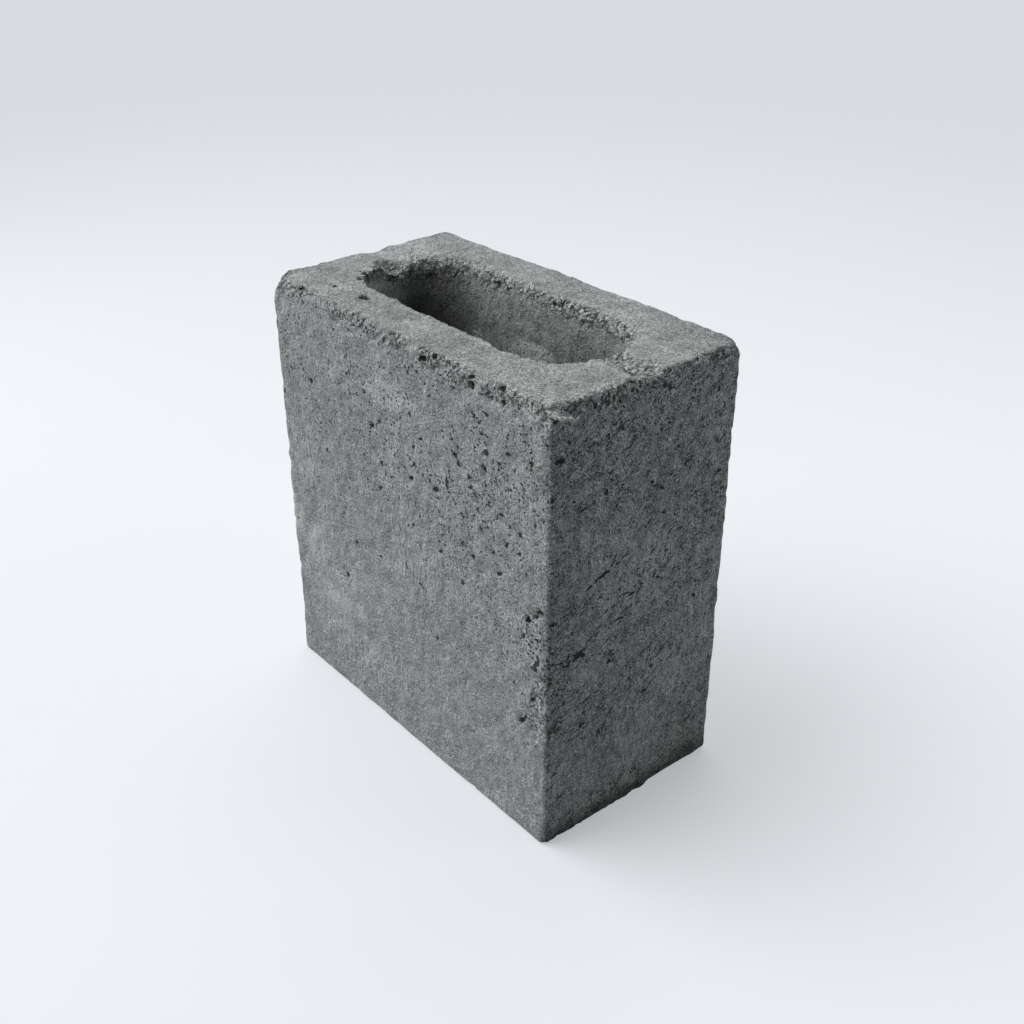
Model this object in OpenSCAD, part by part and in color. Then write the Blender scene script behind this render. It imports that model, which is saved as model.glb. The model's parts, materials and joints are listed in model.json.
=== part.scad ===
// Hollow concrete half block, cast as one piece round a tapered core.
// Millimetres. The origin is the middle of the bottom bed face, +X runs along the block and +Z is up.

/* [Block] */
// Length between the two end faces
block_length = 190; // [150:1:300]
// Width across the two face shells
block_width = 100; // [80:1:150]
// Height between the two bed faces
block_height = 200; // [100:1:300]
// Radius that the mould leaves on the four upright edges
upright_radius = 5; // [2:0.5:10]
// Radius of the crumbled edge round the top bed face
top_edge_radius = 4; // [1:0.5:5]
// Radius of the edge round the bottom bed face
bottom_edge_radius = 1.5; // [0.5:0.25:3]

/* [Core] */
// Thickness of each face shell where the core is widest, at the top
shell_thickness = 26; // [18:0.5:32]
// Thickness of each end web where the core is longest, at the top
web_thickness = 26; // [18:0.5:40]
// How much thicker each wall is at the bottom, so that the block slides off its core
core_draft = 2; // [0.5:0.25:5]
// Radius of the crumbled rim at the top of the core
top_rim_radius = 4; // [1:0.5:6]
// Radius of the rim at the bottom of the core
bottom_rim_radius = 1.5; // [0.5:0.25:3]

/* [Core bar mark] */
// Width of the sunken strip that the bar holding the core leaves across both webs
bar_mark_width = 14; // [6:1:24]
// Depth of the strip at its middle
bar_mark_depth = 2.5; // [0.5:0.25:4]

/* [Worn corners] */
// How far the wear on two opposite top corners reaches along each edge
wear_reach = 12; // [8:0.5:16]

/* [Hidden] */
$fn = 96;

// How far a cutting shape runs past the face that it opens
overrun = 1;

// Middles of the corner posts, and the edge radii that those posts have room for
post_x = block_length / 2 - upright_radius;
post_y = block_width / 2 - upright_radius;
top_round = min(top_edge_radius, upright_radius);
bottom_round = min(bottom_edge_radius, upright_radius);

// Half the core's width at the top, and how far its two round ends stand from the middle
core_half_width = block_width / 2 - shell_thickness;
core_end_x = block_length / 2 - web_thickness - core_half_width;
draft_angle = atan(core_draft / block_height);

// The bar mark is a shallow arc: the radius of a circle with that chord and that rise
bar_mark_radius = (pow(bar_mark_width / 2, 2) + pow(bar_mark_depth, 2)) / (2 * bar_mark_depth);

// The wear is part of a sphere that leaves each edge wear_reach from the corner
wear_centre = 1.5 * wear_reach;
wear_radius = sqrt(2 * pow(wear_centre, 2) + pow(wear_centre - wear_reach, 2));

// Half the core's width at a height, and the middle of a rim circle that touches that wall
function core_wall(z) = core_half_width - core_draft * (1 - z / block_height);
function rim_centre(z, radius) = [core_wall(z) + radius / cos(draft_angle), z];
function rim_touch(centre, radius) = centre + radius * [-cos(draft_angle), sin(draft_angle)];

// Square corner less its round, which rounds off the corner at the origin
module corner_waste(radius) {
    difference() {
        translate([-radius, -radius])
            square(radius + overrun);
        translate([-radius, -radius])
            circle(radius);
    }
}

// Upright section of the body from its middle out to a face, with both edges of that face rounded
module half_section(reach) {
    difference() {
        square([reach, block_height]);
        translate([reach, block_height])
            corner_waste(top_round);
        translate([reach, 0])
            mirror([0, 1])
                corner_waste(bottom_round);
    }
}

module full_section(reach) {
    half_section(reach);
    mirror([1, 0])
        half_section(reach);
}

// Outside of the block: two crossing slabs and a round post in each corner, all of one section
module body() {
    rotate([90, 0, 90])
        linear_extrude(2 * post_x, center = true)
            full_section(block_width / 2);
    rotate([90, 0, 0])
        linear_extrude(2 * post_y, center = true)
            full_section(block_length / 2);
    for (x = [-post_x, post_x], y = [-post_y, post_y])
        translate([x, y, 0])
            rotate_extrude()
                half_section(upright_radius);
}

// Upright section of the core from its middle out to the wall, flared at both rims
module core_half_section() {
    top = rim_centre(block_height - top_rim_radius, top_rim_radius);
    bottom = rim_centre(bottom_rim_radius, bottom_rim_radius);
    difference() {
        polygon([
            [0, -overrun],
            [bottom.x, -overrun],
            bottom,
            rim_touch(bottom, bottom_rim_radius),
            rim_touch(top, top_rim_radius),
            top,
            [top.x, block_height + overrun],
            [0, block_height + overrun]
        ]);
        translate(top)
            circle(top_rim_radius);
        translate(bottom)
            circle(bottom_rim_radius);
    }
}

// Core: that section turned for the round ends and drawn straight between them
module core() {
    for (x = [-core_end_x, core_end_x])
        translate([x, 0, 0])
            rotate_extrude()
                core_half_section();
    rotate([90, 0, 90])
        linear_extrude(2 * core_end_x, center = true) {
            core_half_section();
            mirror([1, 0])
                core_half_section();
        }
}

// Strip that the bar holding the core leaves along the top of both webs
module bar_mark() {
    translate([0, 0, block_height + bar_mark_radius - bar_mark_depth])
        rotate([0, 90, 0])
            cylinder(r = bar_mark_radius, h = block_length + 2 * overrun, center = true);
}

// Waste from a worn top corner, with the corner at the origin and the block below and behind it
module worn_corner() {
    translate(-wear_centre * [1, 1, 1])
        difference() {
            cube(wear_centre + overrun);
            sphere(wear_radius);
        }
}

module block() {
    color("dimgray")
        difference() {
            body();
            core();
            bar_mark();
            for (turn = [0, 180])
                rotate(turn)
                    translate([block_length / 2, block_width / 2, block_height])
                        worn_corner();
        }
}

block();
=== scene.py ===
"""Hollow concrete half block: its pitted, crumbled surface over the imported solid, and a plain stage.

Lengths are metres in the shared frame: +X along the block, +Y across it, +Z up from the bottom bed face.
The front is the face at -Y, the right end the face at +X, and the near edge the upright edge between them.
"""

import json
import math

import bpy
import numpy as np
from bpy.props import FloatProperty, FloatVectorProperty, IntProperty, PointerProperty
from mathutils import Matrix, Vector


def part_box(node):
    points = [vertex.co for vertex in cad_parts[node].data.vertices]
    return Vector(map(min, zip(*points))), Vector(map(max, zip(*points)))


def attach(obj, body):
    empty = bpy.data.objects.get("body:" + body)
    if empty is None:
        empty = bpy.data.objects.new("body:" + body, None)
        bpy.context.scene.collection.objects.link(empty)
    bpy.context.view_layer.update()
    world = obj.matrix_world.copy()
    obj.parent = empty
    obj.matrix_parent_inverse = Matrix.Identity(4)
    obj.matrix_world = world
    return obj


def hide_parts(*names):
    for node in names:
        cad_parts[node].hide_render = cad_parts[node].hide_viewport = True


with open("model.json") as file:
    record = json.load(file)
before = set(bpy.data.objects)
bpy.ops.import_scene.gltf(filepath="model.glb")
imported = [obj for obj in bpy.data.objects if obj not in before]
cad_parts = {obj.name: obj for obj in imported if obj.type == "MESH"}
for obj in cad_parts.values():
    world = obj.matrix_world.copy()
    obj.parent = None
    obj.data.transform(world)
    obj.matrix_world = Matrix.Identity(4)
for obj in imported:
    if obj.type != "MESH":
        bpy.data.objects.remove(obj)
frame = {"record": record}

bl_info = {
    "name": "Concrete Half Block",
    "version": (1, 0, 0),
    "blender": (4, 5, 0),
    "location": "3D View > Sidebar > Block",
    "description": "Builds the worn surface of a hollow concrete half block and a plain stage for it",
    "category": "Add Mesh",
}

MM = 0.001
BLOCK_LOW, BLOCK_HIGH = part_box("block")
BLOCK_SIZE = BLOCK_HIGH - BLOCK_LOW
CONCRETE = next(m for m in frame["record"]["materials"] if m["slot"] == "concrete")

# Starting distance, in cells or in radii of a hollow, that is greater than any that counts
FAR = 9.0

# Seeds of this block's own wear, mottling and painted light and shade, which stay the same whatever the
# relief's seed
WORN_EDGE_SEED = 930
ROUGH_EDGE_SEED = 935
BAR_SIDE_SEED = 940
CHIPPED_FOOT_SEED = 950
RIM_WEAR_SEED = 955
LEDGE_SEED = 960
LOW_RIM_SEED = 965
BROKEN_EDGE_SEED = 970
CRUMB_SEED = 975
BED_MOTTLE_SEED = 980
LEFT_MOTTLE_SEED = 981
FOOT_DARKENING_SEED = 985
SCRATCH_SEED = 990


# Settings


def length_setting(name, description, default):
    return FloatProperty(name=name, description=description, default=default, unit="LENGTH", precision=4)


def colour_setting(name, description, default):
    return FloatVectorProperty(
        name=name, description=description, default=default, size=3, min=0, max=1, subtype="COLOR"
    )


def share_setting(name, description, default):
    return FloatProperty(name=name, description=description, default=default, min=0, max=1, subtype="FACTOR")


def strength_setting(name, description, default):
    return FloatProperty(name=name, description=description, default=default, min=0)


def angle_setting(name, description, degrees):
    return FloatProperty(name=name, description=description, default=math.radians(degrees), subtype="ANGLE")


class BlockShape(bpy.types.PropertyGroup):
    """Sizes of the cast block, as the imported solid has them"""

    length: length_setting("Length", "Distance between the end faces", BLOCK_SIZE.x)
    width: length_setting("Width", "Distance across the face shells", BLOCK_SIZE.y)
    height: length_setting("Height", "Distance between the bed faces", BLOCK_SIZE.z)
    upright_radius: length_setting("Upright edges", "Radius of the worn upright edges", 5 * MM)
    crisp_radius: length_setting("Crisp edge", "Radius of the near upright edge", 3 * MM)
    top_radius: length_setting("Top edge", "Radius of the edge round the top bed", 4 * MM)
    bottom_radius: length_setting("Bottom edge", "Radius of the edge round the bottom bed", 1.5 * MM)
    shell: length_setting("Shell", "Thickness of a face shell at the top", 26 * MM)
    web: length_setting("Web", "Thickness of an end web at the top", 26 * MM)
    draft: length_setting("Core draft", "How much thicker each wall is at the bottom", 2 * MM)
    rim_radius: length_setting("Core rim", "Radius of the rim at the top of the core", 4 * MM)
    rim_wear: length_setting("Rim wear", "How far the core's rim is worn back along the front shell", 2 * MM)
    foot_radius: length_setting("Core foot", "Radius of the rim at the bottom of the core", 1.5 * MM)
    bar_width: length_setting("Bar mark width", "Width of the strip sunk across both webs", 14 * MM)
    bar_depth: length_setting("Bar mark depth", "Depth of that strip at its middle", 2.5 * MM)
    wear_reach: length_setting("Corner wear", "Reach of the wear on two opposite top corners", 12 * MM)


class BlockRelief(bpy.types.PropertyGroup):
    """Depths of the cast surface's relief, all measured inwards from the smooth block"""

    fine_step: length_setting("Fine step", "Mesh spacing on the two faces that show most", 1.3 * MM)
    coarse_step: length_setting("Coarse step", "Mesh spacing on the other faces", 2.4 * MM)
    wave: length_setting("Waves", "Depth of the broad unevenness of the faces", 0.4 * MM)
    lump: length_setting("Lumps", "Depth of the unevenness between coarse grains", 0.4 * MM)
    grain: length_setting("Grain", "Depth of the sandy grain", 0.45 * MM)
    pit: length_setting("Pits", "Depth of the air pits", 1.4 * MM)
    crumble: length_setting("Crumble", "Depth of the crumbled top edges", 1.8 * MM)
    seed: IntProperty(name="Seed", description="Picks another pattern of relief", default=7, min=0)


class ConcreteFinish(bpy.types.PropertyGroup):
    """Colours of the concrete"""

    base: colour_setting("Cement", "Colour of the set cement", CONCRETE["base_color"][:3])
    pale: colour_setting("Bloom", "Colour of the pale dusty patches", (0.4, 0.41, 0.41))
    # The pits colour is painted shade, laid into pits, pores, creases and hollows
    dark: colour_setting("Pits", "Colour inside pits and hollows", (0.02, 0.021, 0.022))
    roughness: share_setting("Roughness", "Roughness of the surface", 0.92)


class StageSettings(bpy.types.PropertyGroup):
    """Floor, light and camera"""

    floor: colour_setting("Floor", "Colour of the floor round the block", (0.755, 0.775, 0.805))
    # Painted falloff of light: the floor is darker far from the block
    shaded_far_floor: colour_setting("Far floor", "Colour of the floor far from the block", (0.63, 0.65, 0.68))
    bounce: share_setting("Bounce", "Share of its light that the floor throws on the block", 0.4)
    glow: share_setting("Glow", "Share of the floor's colour that the camera sees as even light", 0.5)
    ambient: share_setting("Ambient", "Strength of the even light", 0.12)
    backdrop: strength_setting("Backdrop", "Strength of the far background", 1.09)
    key: strength_setting("Key", "Strength of the large soft light", 1.18)
    back: share_setting("Back light", "Strength of the soft light from behind", 0.43)
    softness: angle_setting("Softness", "Angle that the key and the back light fill", 64)
    side: share_setting("Side light", "Strength of the panel on the left", 0.2)
    fill: share_setting("Fill light", "Strength of the panel behind the right end", 0.18)
    azimuth: angle_setting("Azimuth", "Camera's turn round the block", 50.24)
    elevation: angle_setting("Elevation", "Camera's height angle", 29.40)
    distance: length_setting("Distance", "Camera's distance from the middle of the block", 565.8 * MM)
    lens: FloatProperty(name="Lens", description="Focal length in millimetres", default=44.2, min=1)


# Noise


def lattice_random(cell, seed):
    """A fixed random number from 0 to 1 at each point of a whole-number lattice.

    The three indices and the seed are multiplied by large odd numbers, joined, and their bits folded twice.
    """
    factors = np.array([73856093, 19349663, 83492791], dtype=np.uint64)
    seed_factor, fold_factor = 2654435761, np.uint64(0x45D9F3B)
    low_bits, half_way = np.uint64(0xFFFFFFFF), np.uint64(16)
    mixed = (cell.astype(np.int64).astype(np.uint64) * factors).sum(axis=-1)
    mixed = (mixed + np.uint64(seed * seed_factor + 97)) & low_bits
    for _ in range(2):
        mixed = ((mixed ^ (mixed >> half_way)) * fold_factor) & low_bits
    return (mixed ^ (mixed >> half_way)).astype(float) / 2.0**32


def smooth(low, high, value):
    """Rises from 0 at low to 1 at high along the curve 3t^2 - 2t^3."""
    t = np.clip((value - low) / (high - low), 0, 1)
    return t * t * (3 - 2 * t)


def rise(low, high, length):
    """Rises smoothly from 0 to 1 while a length in metres goes from low to high, given in millimetres."""
    return smooth(low * MM, high * MM, length)


def fall(low, high, length):
    """Falls smoothly from 1 to 0 while a length in metres goes from low to high, given in millimetres."""
    return 1 - rise(low, high, length)


def noise(points, size, seed):
    """Smooth noise from 0 to 1: random numbers at the corners of cubes of that size, blended between them."""
    scaled = points / size
    cell = np.floor(scaled)
    share = smooth(0, 1, scaled - cell)
    total = np.zeros(points.shape[:-1])
    for corner in np.ndindex(2, 2, 2):
        corner = np.array(corner)
        weight = np.prod(np.where(corner == 1, share, 1 - share), axis=-1)
        total += weight * lattice_random(cell + corner, seed)
    return total


def layered_noise(points, size, seed, layers=3):
    """Sum of noise at halving sizes and halving strengths, from 0 to 1."""
    strengths = 0.5 ** np.arange(layers)
    parts = [s * noise(points, size * s, seed + n) for n, s in enumerate(strengths)]
    return sum(parts) / strengths.sum()


def nearest_seed(points, size, seed):
    """Distance from each point to the nearest of the random seeds that stand one in each cube of that size.

    The distance is in cubes. Also gives a random number from 0 to 1 that belongs to that seed.
    """
    scaled = points / size
    cell = np.floor(scaled)
    nearest = np.full(points.shape[:-1], FAR)
    owner = np.zeros(points.shape[:-1])
    for offset in np.ndindex(3, 3, 3):
        home = cell + np.array(offset) - 1
        place = home + np.stack([lattice_random(home, seed + axis) for axis in range(3)], axis=-1)
        away = np.linalg.norm(scaled - place, axis=-1)
        closer = away < nearest
        nearest = np.where(closer, away, nearest)
        owner = np.where(closer, lattice_random(home, seed + 3), owner)
    return nearest, owner


def warped(points, size, reach, seed):
    """Points pushed about by noise of that size, by up to half the reach each way along each axis."""
    push = np.stack([noise(points, size, seed + axis) for axis in range(3)], axis=-1)
    return points + reach * (push - 0.5)


def pits(points, size, seed, largest, share):
    """Depth from 0 to 1 of ragged pits, in that share of the cubes of that size.

    A pit is a bowl round its cube's seed, 1 - (distance / radius)^2, with a radius up to the largest.
    """
    distance, owner = nearest_seed(warped(points, size / 3, size / 3, seed + 10), size, seed)
    radius = largest * np.clip((owner - 1 + share) / share, 0.01, 1)
    return np.clip(1 - (distance * size / radius) ** 2, 0, 1)


# Block surface


def rounded_outline(distance, half_x, half_y, first_radius, radius):
    """Points and outward normals of a rectangle with round corners, at distances along its rim.

    The rim starts at the left end of the front side and runs anticlockwise, and its first corner has a
    radius of its own. A point is the middle of a corner plus the radius along the normal: on a side the
    middle moves and the normal stays, and in a corner the normal makes a quarter turn and the middle
    stays. Also gives the distances at which those stretches start.
    """
    radii = np.array([radius, first_radius, first_radius] + [radius] * 6)
    corner_x = (half_x - radii) * np.array([-1, 1, 1, 1, 1, -1, -1, -1, -1])
    corner_y = (half_y - radii) * np.array([-1, -1, -1, 1, 1, 1, 1, -1, -1])
    lengths = radii[:-1] * math.pi / 2
    lengths[0::4] = np.abs(np.diff(corner_x))[0::4]
    lengths[2::4] = np.abs(np.diff(corner_y))[2::4]
    starts = np.concatenate([[0], np.cumsum(lengths)])
    quarter_turns = np.interp(distance, starts, [0, 0, 1, 1, 2, 2, 3, 3, 4])
    angle = (quarter_turns - 1) * math.pi / 2
    normal = np.stack([np.cos(angle), np.sin(angle)], axis=-1)
    middle = np.stack([np.interp(distance, starts, corner) for corner in (corner_x, corner_y)], axis=-1)
    return middle + np.interp(distance, starts, radii)[:, None] * normal, normal, starts


def stretch(start, stop, step):
    """Evenly spaced values from start up to but not including stop, about a step apart."""
    return np.linspace(start, stop, max(2, round(abs(stop - start) / step)), endpoint=False)


def plan_columns(shape, relief):
    """Outer and core outlines, column by column round the plan, with their outward normals.

    The front and the right end have fine columns. The core's outline is run through so that the middle of
    each quarter of its round ends faces a corner of the block.
    """
    outline = (shape.length / 2, shape.width / 2, shape.crisp_radius, shape.upright_radius)
    starts = rounded_outline(np.zeros(1), *outline)[2]
    fine, coarse = relief.fine_step, relief.coarse_step
    # Front, near edge, right end, right back edge, back, left back edge, left end, left front edge
    steps = [fine, 0.6 * fine, fine, 0.8 * fine, 0.75 * coarse, 0.6 * coarse, coarse, 0.8 * fine]
    distance = np.concatenate([stretch(a, b, s) for a, b, s in zip(starts, starts[1:], steps)])
    outer, outer_normal, _ = rounded_outline(distance, *outline)

    core_half_y = shape.width / 2 - shape.shell
    core = (shape.length / 2 - shape.web, core_half_y, core_half_y, core_half_y)
    core_starts = rounded_outline(np.zeros(1), *core)[2]
    arc = core_starts[2] - core_starts[1]
    turns = core_starts[[1, 3, 5, 7]] + arc / 2
    spread = 0.08 * arc
    marks = np.stack([turns - spread, turns + spread], axis=-1).ravel()
    marks = np.concatenate([[marks[-1] - core_starts[-1]], marks])
    core_distance = np.interp(distance, starts, marks) % core_starts[-1]
    inner, inner_normal, _ = rounded_outline(core_distance, *core)
    return outer, outer_normal, inner, inner_normal


def section_rows(shape, relief):
    """The section, row by row: up the outside, over the top, down the core and back under the bottom.

    Each row has its height, its share of the outer outline (1 outside, 0 in the core), how far it is set
    in from the outer outline and how far the core's rim is flared there. Both edges and both rims are
    quarter circles. Rows lie closer towards the top.
    """
    height, fine, coarse = shape.height, relief.fine_step, relief.coarse_step
    top, bottom, rim, foot = shape.top_radius, shape.bottom_radius, shape.rim_radius, shape.foot_radius
    half_up, near_top, lit_depth = 0.5 * height, 0.93 * height, 0.35 * height
    top_width = shape.shell - top - rim
    quarter = math.pi / 2

    def rows(z, outer_share, inset, flare):
        return np.stack(np.broadcast_arrays(z, outer_share, inset, flare), axis=-1)

    turn = stretch(0, quarter, quarter / 4)
    parts = [rows(bottom * (1 - np.cos(turn)), 1, bottom * (1 - np.sin(turn)), foot)]
    bands = ((bottom, half_up, 1.4), (half_up, near_top, 1.05), (near_top, height - top, 0.75))
    for low, high, spacing in bands:
        parts.append(rows(stretch(low, high, fine * spacing), 1, 0, foot))
    turn = stretch(0, quarter, quarter / 8)
    parts.append(rows(height - top + top * np.sin(turn), 1, top * (1 - np.cos(turn)), rim))
    parts.append(rows(height, 1 - stretch(0, 1, fine / top_width), top, rim))
    parts.append(rows(height - rim * (1 - np.cos(turn)), 0, top, rim * (1 - np.sin(turn))))
    parts.append(rows(stretch(height - rim, height - lit_depth, fine * 1.15), 0, top, 0))
    parts.append(rows(stretch(height - lit_depth, foot, coarse * 2.2), 0, bottom, 0))
    turn = stretch(0, quarter, quarter / 3)
    parts.append(rows(foot * (1 - np.sin(turn)), 0, bottom, foot * (1 - np.cos(turn))))
    parts.append(rows(0, stretch(0, 1, coarse * 1.2 / top_width), bottom, foot))
    return np.concatenate(parts).T


def edge_roundness(outer, outer_normal, inner):
    """How round the top edge and the core's rim are, column by column, as shares of their full radius.

    The back edge is crisp but for its left end, the right edge and the corner before it are half so, and
    the rim is crisp along the front shell.
    """
    crisp_back = smooth(0.3, 0.9, outer_normal[..., 1]) * rise(-60, -10, outer[..., 0])
    crisp_right = rise(60, 88, outer[..., 0])
    edge = 1 - np.maximum(0.65 * crisp_back, 0.5 * crisp_right)
    return edge, 0.35 + 0.65 * rise(-8, 12, inner[..., 1])


def smooth_block(shape, relief):
    """Grid of points over the smooth block, columns round the plan by rows round the section, in metres.

    A point is the outer outline set in, or the core's outline flared and drawn in by the draft, or for the
    bed faces a straight blend between the two. At the top, the edge and the rim shrink to their roundness:
    drops below the top, insets and flares are multiplied by it. Along the front shell the upper quarter of
    the core is worn back, unevenly and most at its rim.
    """
    outer, outer_normal, inner, inner_normal = (a[:, None, :] for a in plan_columns(shape, relief))
    edge, rim = edge_roundness(outer, outer_normal, inner)
    z, outer_share, inset, flare = section_rows(shape, relief)
    at_edge = np.where(z > shape.height - shape.top_radius, edge, 1)
    at_rim = np.where(z > shape.height - shape.rim_radius, rim, 1)
    drop = (shape.height - z) * np.where(outer_share > 0, at_edge, at_rim)

    in_plan = np.concatenate([inner, np.zeros_like(inner[..., :1])], axis=-1)
    uneven = layered_noise(in_plan, 7 * MM, RIM_WEAR_SEED, 2)
    worn = shape.rim_wear * (0.3 + 1.4 * uneven) * smooth(0, 0.6, -inner_normal[..., 1])
    drawn_in = shape.draft * (1 - z / shape.height) - worn * smooth(0.75, 0.92, z / shape.height)
    outside = outer - (inset * at_edge)[..., None] * outer_normal
    inside = inner + (flare * at_rim - drawn_in)[..., None] * inner_normal
    plan = outer_share[:, None] * outside + (1 - outer_share)[:, None] * inside
    return np.concatenate([plan, shape.height - drop[..., None]], axis=-1)


def grid_normals(points):
    """Unit normals of a grid that closes on itself both ways: the cross product of its two directions."""
    along = np.roll(points, -1, axis=0) - np.roll(points, 1, axis=0)
    up = np.roll(points, -1, axis=1) - np.roll(points, 1, axis=1)
    normal = np.cross(along, up)
    return normal / np.linalg.norm(normal, axis=-1, keepdims=True)


def wear_corners(points, shape):
    """Draws corners back to spheres, each of which leaves the edges its reach away from the corner.

    The left front top corner is worn most. At the right back one the sphere is drawn out downwards. The
    other two top corners and the near bottom one are worn less.
    """
    corner = np.array([shape.length, shape.width, shape.height]) / 2
    centre = np.array([0, 0, shape.height / 2])
    # Sides of the corner, share of the full reach, and how far the sphere is drawn out downwards
    worn_corners = (
        ((-1, -1, 1), 1.35, 1.0),
        ((1, 1, 1), 0.8, 1.3),
        ((-1, 1, 1), 0.75, 1.0),
        ((1, -1, 1), 0.45, 1.0),
        ((1, -1, -1), 0.4, 1.0),
    )
    for side, share, drawn_out in worn_corners:
        reach = share * shape.wear_reach
        depth = 1.5 * reach
        radius = math.sqrt(2 * depth**2 + (depth - reach) ** 2)
        side = np.array(side)
        scale = np.array([1, 1, drawn_out])
        middle = centre + (corner - depth * scale) * side
        away = (points - middle) / scale
        outward = away * side
        distance = np.linalg.norm(away, axis=-1, keepdims=True)
        worn = (outward > 0).all(axis=-1, keepdims=True) & (distance > radius)
        points = np.where(worn, middle + scale * away * radius / distance, points)
    return points


def sink_bar_mark(points, shape):
    """Lowers the tops of both webs along X, the strips left by the bar that held the core.

    The right one is a shallow arc with a steep-sided strip in it. The left web is lower as far as its back
    part, and its strip slopes down to the back and ends there in a steep step. Both have ragged sides and
    fade towards the core.
    """
    half, depth = shape.bar_width / 2, shape.bar_depth
    radius = (half**2 + depth**2) / (2 * depth)
    x, y, z = np.moveaxis(points, -1, 0)
    y = y + 5 * MM * (layered_noise(points, 5 * MM, BAR_SIDE_SEED, 2) - 0.5)
    arc = 0.5 * (radius - depth - np.sqrt(radius**2 - np.clip(y, -half, half) ** 2))
    arc -= 0.4 * depth * (1 - smooth(0.6 * half, 0.9 * half, np.abs(y)))
    step = smooth(1.4 * half, 1.9 * half, y)
    slope = -0.7 * depth * smooth(-0.7 * half, 1.3 * half, y) * (1 - step)
    slope -= 0.4 * depth * (1 - smooth(3.4 * half, 4.2 * half, y))
    from_core = np.abs(x) - (shape.length / 2 - shape.web)
    fade = rise(-8, 0, from_core) * (0.35 + 0.65 * rise(0, 18, from_core))
    floor = shape.height + fade * np.where(x > 0, arc, slope)
    sunk = points.copy()
    sunk[..., 2] = np.where(z > shape.height / 2, np.minimum(z, floor), z)
    return sunk


def wear_rim(points, shape):
    """Lowers the core's rim to a ragged slope where the left bar mark meets it, within about 10 mm.

    Below the rim the wall is pressed together, so that its rows stay in order.
    """
    middle_x, middle_y = -71 * MM, 2 * MM
    lowered, pressed_height = 5 * MM, 25 * MM
    x, y, z = np.moveaxis(points, -1, 0)
    ragged = 6 * MM * (layered_noise(points, 5 * MM, LOW_RIM_SEED, 2) - 0.5)
    away = np.hypot(x - middle_x, y - middle_y) + ragged
    pressed = np.clip(1 - (shape.height - z) / pressed_height, 0, 1)
    worn = points.copy()
    worn[..., 2] -= lowered * pressed * fall(3, 10, away)
    return worn


def chip_base(points, shape):
    """Sets the lowest 3 mm of the right end back, by a depth along Y, with ragged lips between."""
    x, y, z = np.moveaxis(points, -1, 0)
    ragged = layered_noise(points, 4 * MM, CHIPPED_FOOT_SEED, 2) - 0.5
    places = np.array([-50, -42, -36, -17, -11, 8, 13, 45, 50]) * MM
    depths = np.array([0, 0, 0.2, 0.2, 0, 0, 1.5, 1.6, 1.0]) * MM
    set_back = np.interp(y + 4 * MM * ragged, places, depths) + 4 * MM * np.abs(ragged)
    low = fall(0.8, 3, z + 2 * MM * ragged)
    chipped = points.copy()
    chipped[..., 0] -= set_back * low * smooth(0.8, 1, 2 * x / shape.length)
    return chipped


# Places along the right end where the ledge below its broken top edge changes
LEDGE_PLACES = np.array([-50, -38, -35, 0, 38, 45]) * MM


def end_ledge(points):
    """Depth under the top of the ragged ledge below the right end's broken top edge, in metres.

    It falls from the near edge for 12 mm, jumps up there and rises slowly towards the far edge.
    """
    ragged = 2 * MM * (layered_noise(points, 6 * MM, LEDGE_SEED, 2) - 0.5)
    depths = np.array([2.2, 7, 4, 4, 3, 2]) * MM
    return np.interp(points[..., 1], LEDGE_PLACES, depths) + ragged


def break_top_edge(points, shape):
    """Sets the strip under the right end's top edge back, by up to 2.2 mm, above a ragged ledge.

    The shift is largest at the near edge and runs out before the far one, and sound stretches lie between.
    On the top it fades out within 8 mm, so that the rows there stay in order.
    """
    x, y, z = np.moveaxis(points, -1, 0)
    sound = smooth(0.45, 0.6, layered_noise(points, 11 * MM, BROKEN_EDGE_SEED, 2))
    set_back = np.interp(y, LEDGE_PLACES, np.array([2.2, 2.2, 1.2, 1.3, 1, 0]) * MM)
    set_back = set_back * (1 - 0.7 * sound * rise(-42, -34, y))
    strip = fall(-0.6, 0.6, shape.height - z - end_ledge(points))
    broken = points.copy()
    broken[..., 0] -= set_back * strip * fall(0, 8, shape.length / 2 - x)
    return broken


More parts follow.
